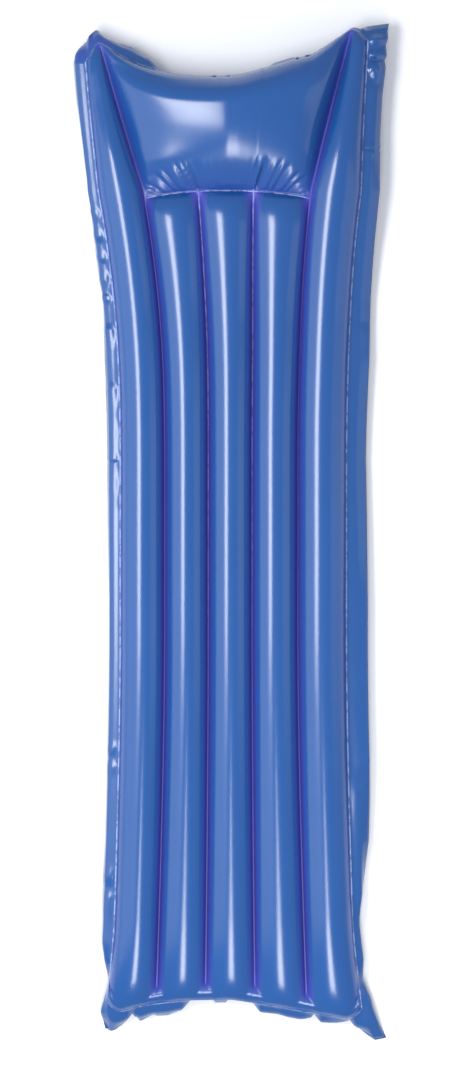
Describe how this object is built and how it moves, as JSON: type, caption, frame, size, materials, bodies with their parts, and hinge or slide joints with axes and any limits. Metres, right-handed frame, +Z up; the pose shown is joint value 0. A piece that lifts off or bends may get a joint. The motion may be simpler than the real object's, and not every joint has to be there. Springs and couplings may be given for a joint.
{
  "type": "pool air mattress",
  "caption": "Inflatable vinyl lounging mat for the pool: lengthwise air tubes, a plump pillow across the head end, loose welded edges and push-in air valves underneath.",
  "frame": {"origin": "under the middle of the mattress, on the surface that it lies on", "axes": "+Y along the mattress towards the pillow, +Z up out of the lying surface, +X to the right of someone who looks down on it with the pillow at the far end"},
  "size_m": [0.5661, 1.8297, 0.1414],
  "materials": {
    "film": "glossy soft vinyl film, mid blue, slightly see-through",
    "valve": "soft moulded vinyl, blue, satin",
    "plug": "firmer moulded vinyl, blue, satin",
    "flap": "thin pale see-through vinyl"
  },
  "bodies": {
    "mattress": {"top_sheet": "film", "bottom_sheet": "film", "body_valve_base": "valve", "pillow_valve_base": "valve"},
    "body_valve": {"body_valve_stem": "valve", "body_valve_strap": "valve"},
    "body_plug": {"body_valve_plug": "plug"},
    "body_flap": {"body_valve_flap": "flap"},
    "pillow_valve": {"pillow_valve_stem": "valve", "pillow_valve_strap": "valve"},
    "pillow_plug": {"pillow_valve_plug": "plug"},
    "pillow_flap": {"pillow_valve_flap": "flap"}
  },
  "joints": [
    {"name": "body_valve_slide", "type": "slide", "parent": "mattress", "child": "body_valve", "axis": [0, 0, -1], "range_m": [0, 0.012]},
    {"name": "body_plug_hinge", "type": "hinge", "parent": "body_valve", "child": "body_plug", "pos_m": [0.16135, 0.25, 0.0003], "axis": [0, 1, 0], "range_deg": [0, 170]},
    {"name": "body_flap_hinge", "type": "hinge", "parent": "body_valve", "child": "body_flap", "pos_m": [0.16106, 0.25, 0.0266], "axis": [0, -1, 0], "range_deg": [0, 50]},
    {"name": "pillow_valve_slide", "type": "slide", "parent": "mattress", "child": "pillow_valve", "axis": [0, 0, -1], "range_m": [0, 0.012]},
    {"name": "pillow_plug_hinge", "type": "hinge", "parent": "pillow_valve", "child": "pillow_plug", "pos_m": [-0.01523, 0.7, 0.0003], "axis": [0, 1, 0], "range_deg": [0, 170]},
    {"name": "pillow_flap_hinge", "type": "hinge", "parent": "pillow_valve", "child": "pillow_flap", "pos_m": [-0.01552, 0.7, 0.0266], "axis": [0, -1, 0], "range_deg": [0, 50]}
  ]
}
